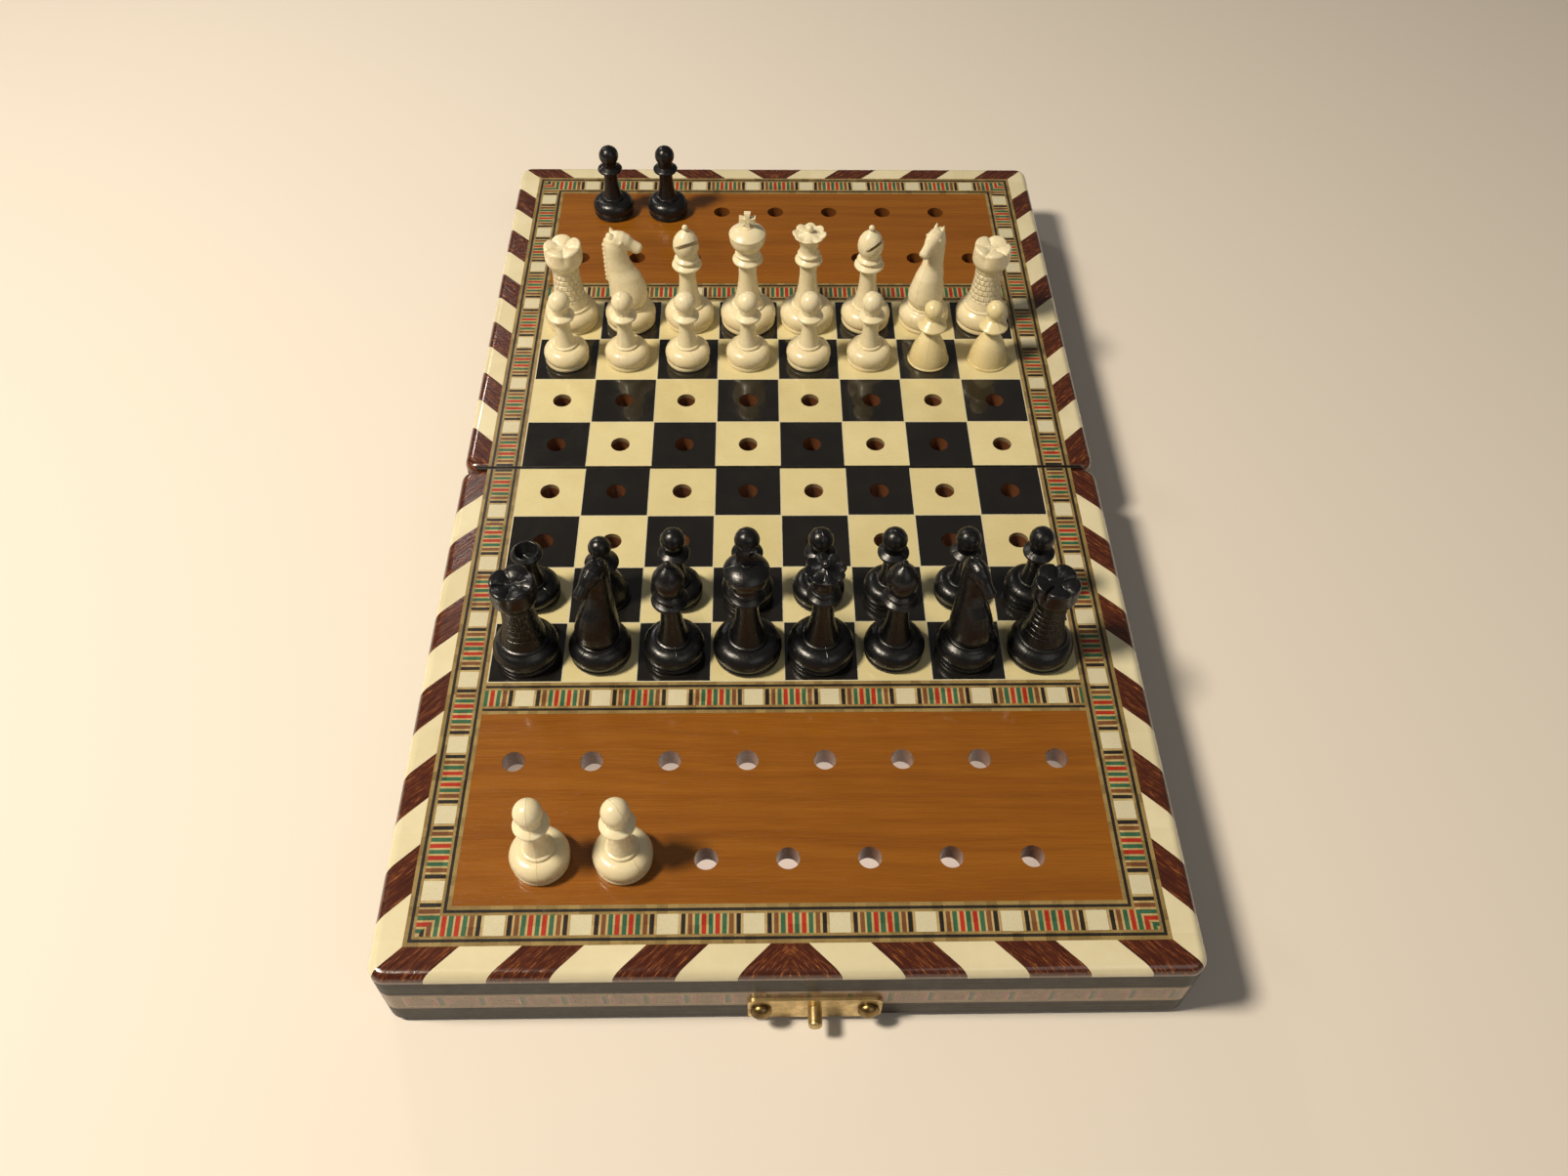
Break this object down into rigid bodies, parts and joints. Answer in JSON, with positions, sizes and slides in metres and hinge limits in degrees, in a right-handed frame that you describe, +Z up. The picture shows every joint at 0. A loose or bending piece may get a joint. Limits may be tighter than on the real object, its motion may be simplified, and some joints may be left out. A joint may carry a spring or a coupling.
{
  "type": "folding travel chess set",
  "caption": "Folding inlaid chess case opened out as its board, with drilled squares, captured-men trays, pegged men, inset hinges and a swing-hook latch.",
  "frame": {"origin": "under the middle of the seam between the two open halves, on the table", "axes": "+X to the right along the ranks as the player sees the board, +Y away from the player across the seam, +Z up out of the playing surface"},
  "size_m": [0.127, 0.2172, 0.0452],
  "materials": {
    "ebonised_wood": "gloss",
    "amber_wood": "gloss",
    "black_inlay": "gloss",
    "bone_inlay": "gloss",
    "mosaic": "gloss",
    "mahogany": "gloss",
    "brass": "satin",
    "steel": "satin",
    "ivory_plastic": "gloss",
    "black_plastic": "satin"
  },
  "bodies": {
    "near_half": {"near_rails": "ebonised_wood", "near_deck": "amber_wood", "near_field_board": "black_inlay", "near_light_squares": "bone_inlay", "near_mosaic_banding": "mosaic", "near_bone_blocks": "bone_inlay", "near_mahogany_blocks": "mahogany", "near_hinge_leaves": "brass", "near_hinge_nails": "brass", "near_latch_nails": "brass", "hinge_pins": "steel", "catch_plate": "brass"},
    "far_half": {"far_rails": "ebonised_wood", "far_deck": "amber_wood", "far_field_board": "black_inlay", "far_light_squares": "bone_inlay", "far_mosaic_banding": "mosaic", "far_bone_blocks": "bone_inlay", "far_mahogany_blocks": "mahogany", "far_hinge_leaves": "brass", "far_hinge_nails": "brass", "far_latch_nails": "brass", "hook_plate": "brass"},
    "latch_hook": {"latch_hook": "brass"},
    "black_rook_1": {"black_rook_1": "black_plastic"},
    "black_knight_1": {"black_knight_1": "black_plastic"},
    "black_bishop_1": {"black_bishop_1": "black_plastic"},
    "black_king": {"black_king": "black_plastic"},
    "black_queen": {"black_queen": "black_plastic"},
    "black_bishop_2": {"black_bishop_2": "black_plastic"},
    "black_knight_2": {"black_knight_2": "black_plastic"},
    "black_rook_2": {"black_rook_2": "black_plastic"},
    "black_pawn_1": {"black_pawn_1": "black_plastic"},
    "black_pawn_2": {"black_pawn_2": "black_plastic"},
    "black_pawn_3": {"black_pawn_3": "black_plastic"},
    "black_pawn_4": {"black_pawn_4": "black_plastic"},
    "black_pawn_5": {"black_pawn_5": "black_plastic"},
    "black_pawn_6": {"black_pawn_6": "black_plastic"},
    "black_pawn_7": {"black_pawn_7": "black_plastic"},
    "black_pawn_8": {"black_pawn_8": "black_plastic"},
    "white_spare_pawn_1": {"white_spare_pawn_1": "ivory_plastic"},
    "white_spare_pawn_2": {"white_spare_pawn_2": "ivory_plastic"},
    "white_rook_1": {"white_rook_1": "ivory_plastic"},
    "white_knight_1": {"white_knight_1": "ivory_plastic"},
    "white_bishop_1": {"white_bishop_1": "ivory_plastic"},
    "white_king": {"white_king": "ivory_plastic"},
    "white_queen": {"white_queen": "ivory_plastic"},
    "white_bishop_2": {"white_bishop_2": "ivory_plastic"},
    "white_knight_2": {"white_knight_2": "ivory_plastic"},
    "white_rook_2": {"white_rook_2": "ivory_plastic"},
    "white_pawn_1": {"white_pawn_1": "ivory_plastic"},
    "white_pawn_2": {"white_pawn_2": "ivory_plastic"},
    "white_pawn_3": {"white_pawn_3": "ivory_plastic"},
    "white_pawn_4": {"white_pawn_4": "ivory_plastic"},
    "white_pawn_5": {"white_pawn_5": "ivory_plastic"},
    "white_pawn_6": {"white_pawn_6": "ivory_plastic"},
    "white_pawn_7": {"white_pawn_7": "ivory_plastic"},
    "white_pawn_8": {"white_pawn_8": "ivory_plastic"},
    "black_spare_pawn_1": {"black_spare_pawn_1": "black_plastic"},
    "black_spare_pawn_2": {"black_spare_pawn_2": "black_plastic"}
  },
  "joints": [
    {"name": "fold", "type": "hinge", "parent": "near_half", "child": "far_half", "pos_m": [0, 0, 0.001], "axis": [-1, 0, 0], "range_deg": [0, 180]},
    {"name": "hook_swing", "type": "hinge", "parent": "far_half", "child": "latch_hook", "pos_m": [0.004, 0.1072, 0.0049], "axis": [0, 1, 0], "range_deg": [-75, 75]},
    {"name": "black_rook_1_lift", "type": "slide", "parent": "near_half", "child": "black_rook_1", "axis": [0, 0, 1], "range_m": [0, 0.008]},
    {"name": "black_knight_1_lift", "type": "slide", "parent": "near_half", "child": "black_knight_1", "axis": [0, 0, 1], "range_m": [0, 0.008]},
    {"name": "black_bishop_1_lift", "type": "slide", "parent": "near_half", "child": "black_bishop_1", "axis": [0, 0, 1], "range_m": [0, 0.008]},
    {"name": "black_king_lift", "type": "slide", "parent": "near_half", "child": "black_king", "axis": [0, 0, 1], "range_m": [0, 0.008]},
    {"name": "black_queen_lift", "type": "slide", "parent": "near_half", "child": "black_queen", "axis": [0, 0, 1], "range_m": [0, 0.008]},
    {"name": "black_bishop_2_lift", "type": "slide", "parent": "near_half", "child": "black_bishop_2", "axis": [0, 0, 1], "range_m": [0, 0.008]},
    {"name": "black_knight_2_lift", "type": "slide", "parent": "near_half", "child": "black_knight_2", "axis": [0, 0, 1], "range_m": [0, 0.008]},
    {"name": "black_rook_2_lift", "type": "slide", "parent": "near_half", "child": "black_rook_2", "axis": [0, 0, 1], "range_m": [0, 0.008]},
    {"name": "black_pawn_1_lift", "type": "slide", "parent": "near_half", "child": "black_pawn_1", "axis": [0, 0, 1], "range_m": [0, 0.008]},
    {"name": "black_pawn_2_lift", "type": "slide", "parent": "near_half", "child": "black_pawn_2", "axis": [0, 0, 1], "range_m": [0, 0.008]},
    {"name": "black_pawn_3_lift", "type": "slide", "parent": "near_half", "child": "black_pawn_3", "axis": [0, 0, 1], "range_m": [0, 0.008]},
    {"name": "black_pawn_4_lift", "type": "slide", "parent": "near_half", "child": "black_pawn_4", "axis": [0, 0, 1], "range_m": [0, 0.008]},
    {"name": "black_pawn_5_lift", "type": "slide", "parent": "near_half", "child": "black_pawn_5", "axis": [0, 0, 1], "range_m": [0, 0.008]},
    {"name": "black_pawn_6_lift", "type": "slide", "parent": "near_half", "child": "black_pawn_6", "axis": [0, 0, 1], "range_m": [0, 0.008]},
    {"name": "black_pawn_7_lift", "type": "slide", "parent": "near_half", "child": "black_pawn_7", "axis": [0, 0, 1], "range_m": [0, 0.008]},
    {"name": "black_pawn_8_lift", "type": "slide", "parent": "near_half", "child": "black_pawn_8", "axis": [0, 0, 1], "range_m": [0, 0.008]},
    {"name": "white_spare_pawn_1_lift", "type": "slide", "parent": "near_half", "child": "white_spare_pawn_1", "axis": [0, 0, 1], "range_m": [0, 0.008]},
    {"name": "white_spare_pawn_2_lift", "type": "slide", "parent": "near_half", "child": "white_spare_pawn_2", "axis": [0, 0, 1], "range_m": [0, 0.008]},
    {"name": "white_rook_1_lift", "type": "slide", "parent": "far_half", "child": "white_rook_1", "axis": [0, 0, 1], "range_m": [0, 0.008]},
    {"name": "white_knight_1_lift", "type": "slide", "parent": "far_half", "child": "white_knight_1", "axis": [0, 0, 1], "range_m": [0, 0.008]},
    {"name": "white_bishop_1_lift", "type": "slide", "parent": "far_half", "child": "white_bishop_1", "axis": [0, 0, 1], "range_m": [0, 0.008]},
    {"name": "white_king_lift", "type": "slide", "parent": "far_half", "child": "white_king", "axis": [0, 0, 1], "range_m": [0, 0.008]},
    {"name": "white_queen_lift", "type": "slide", "parent": "far_half", "child": "white_queen", "axis": [0, 0, 1], "range_m": [0, 0.008]},
    {"name": "white_bishop_2_lift", "type": "slide", "parent": "far_half", "child": "white_bishop_2", "axis": [0, 0, 1], "range_m": [0, 0.008]},
    {"name": "white_knight_2_lift", "type": "slide", "parent": "far_half", "child": "white_knight_2", "axis": [0, 0, 1], "range_m": [0, 0.008]},
    {"name": "white_rook_2_lift", "type": "slide", "parent": "far_half", "child": "white_rook_2", "axis": [0, 0, 1], "range_m": [0, 0.008]},
    {"name": "white_pawn_1_lift", "type": "slide", "parent": "far_half", "child": "white_pawn_1", "axis": [0, 0, 1], "range_m": [0, 0.008]},
    {"name": "white_pawn_2_lift", "type": "slide", "parent": "far_half", "child": "white_pawn_2", "axis": [0, 0, 1], "range_m": [0, 0.008]},
    {"name": "white_pawn_3_lift", "type": "slide", "parent": "far_half", "child": "white_pawn_3", "axis": [0, 0, 1], "range_m": [0, 0.008]},
    {"name": "white_pawn_4_lift", "type": "slide", "parent": "far_half", "child": "white_pawn_4", "axis": [0, 0, 1], "range_m": [0, 0.008]},
    {"name": "white_pawn_5_lift", "type": "slide", "parent": "far_half", "child": "white_pawn_5", "axis": [0, 0, 1], "range_m": [0, 0.008]},
    {"name": "white_pawn_6_lift", "type": "slide", "parent": "far_half", "child": "white_pawn_6", "axis": [0, 0, 1], "range_m": [0, 0.008]},
    {"name": "white_pawn_7_lift", "type": "slide", "parent": "far_half", "child": "white_pawn_7", "axis": [0, 0, 1], "range_m": [0, 0.008]},
    {"name": "white_pawn_8_lift", "type": "slide", "parent": "far_half", "child": "white_pawn_8", "axis": [0, 0, 1], "range_m": [0, 0.008]},
    {"name": "black_spare_pawn_1_lift", "type": "slide", "parent": "far_half", "child": "black_spare_pawn_1", "axis": [0, 0, 1], "range_m": [0, 0.008]},
    {"name": "black_spare_pawn_2_lift", "type": "slide", "parent": "far_half", "child": "black_spare_pawn_2", "axis": [0, 0, 1], "range_m": [0, 0.008]}
  ]
}
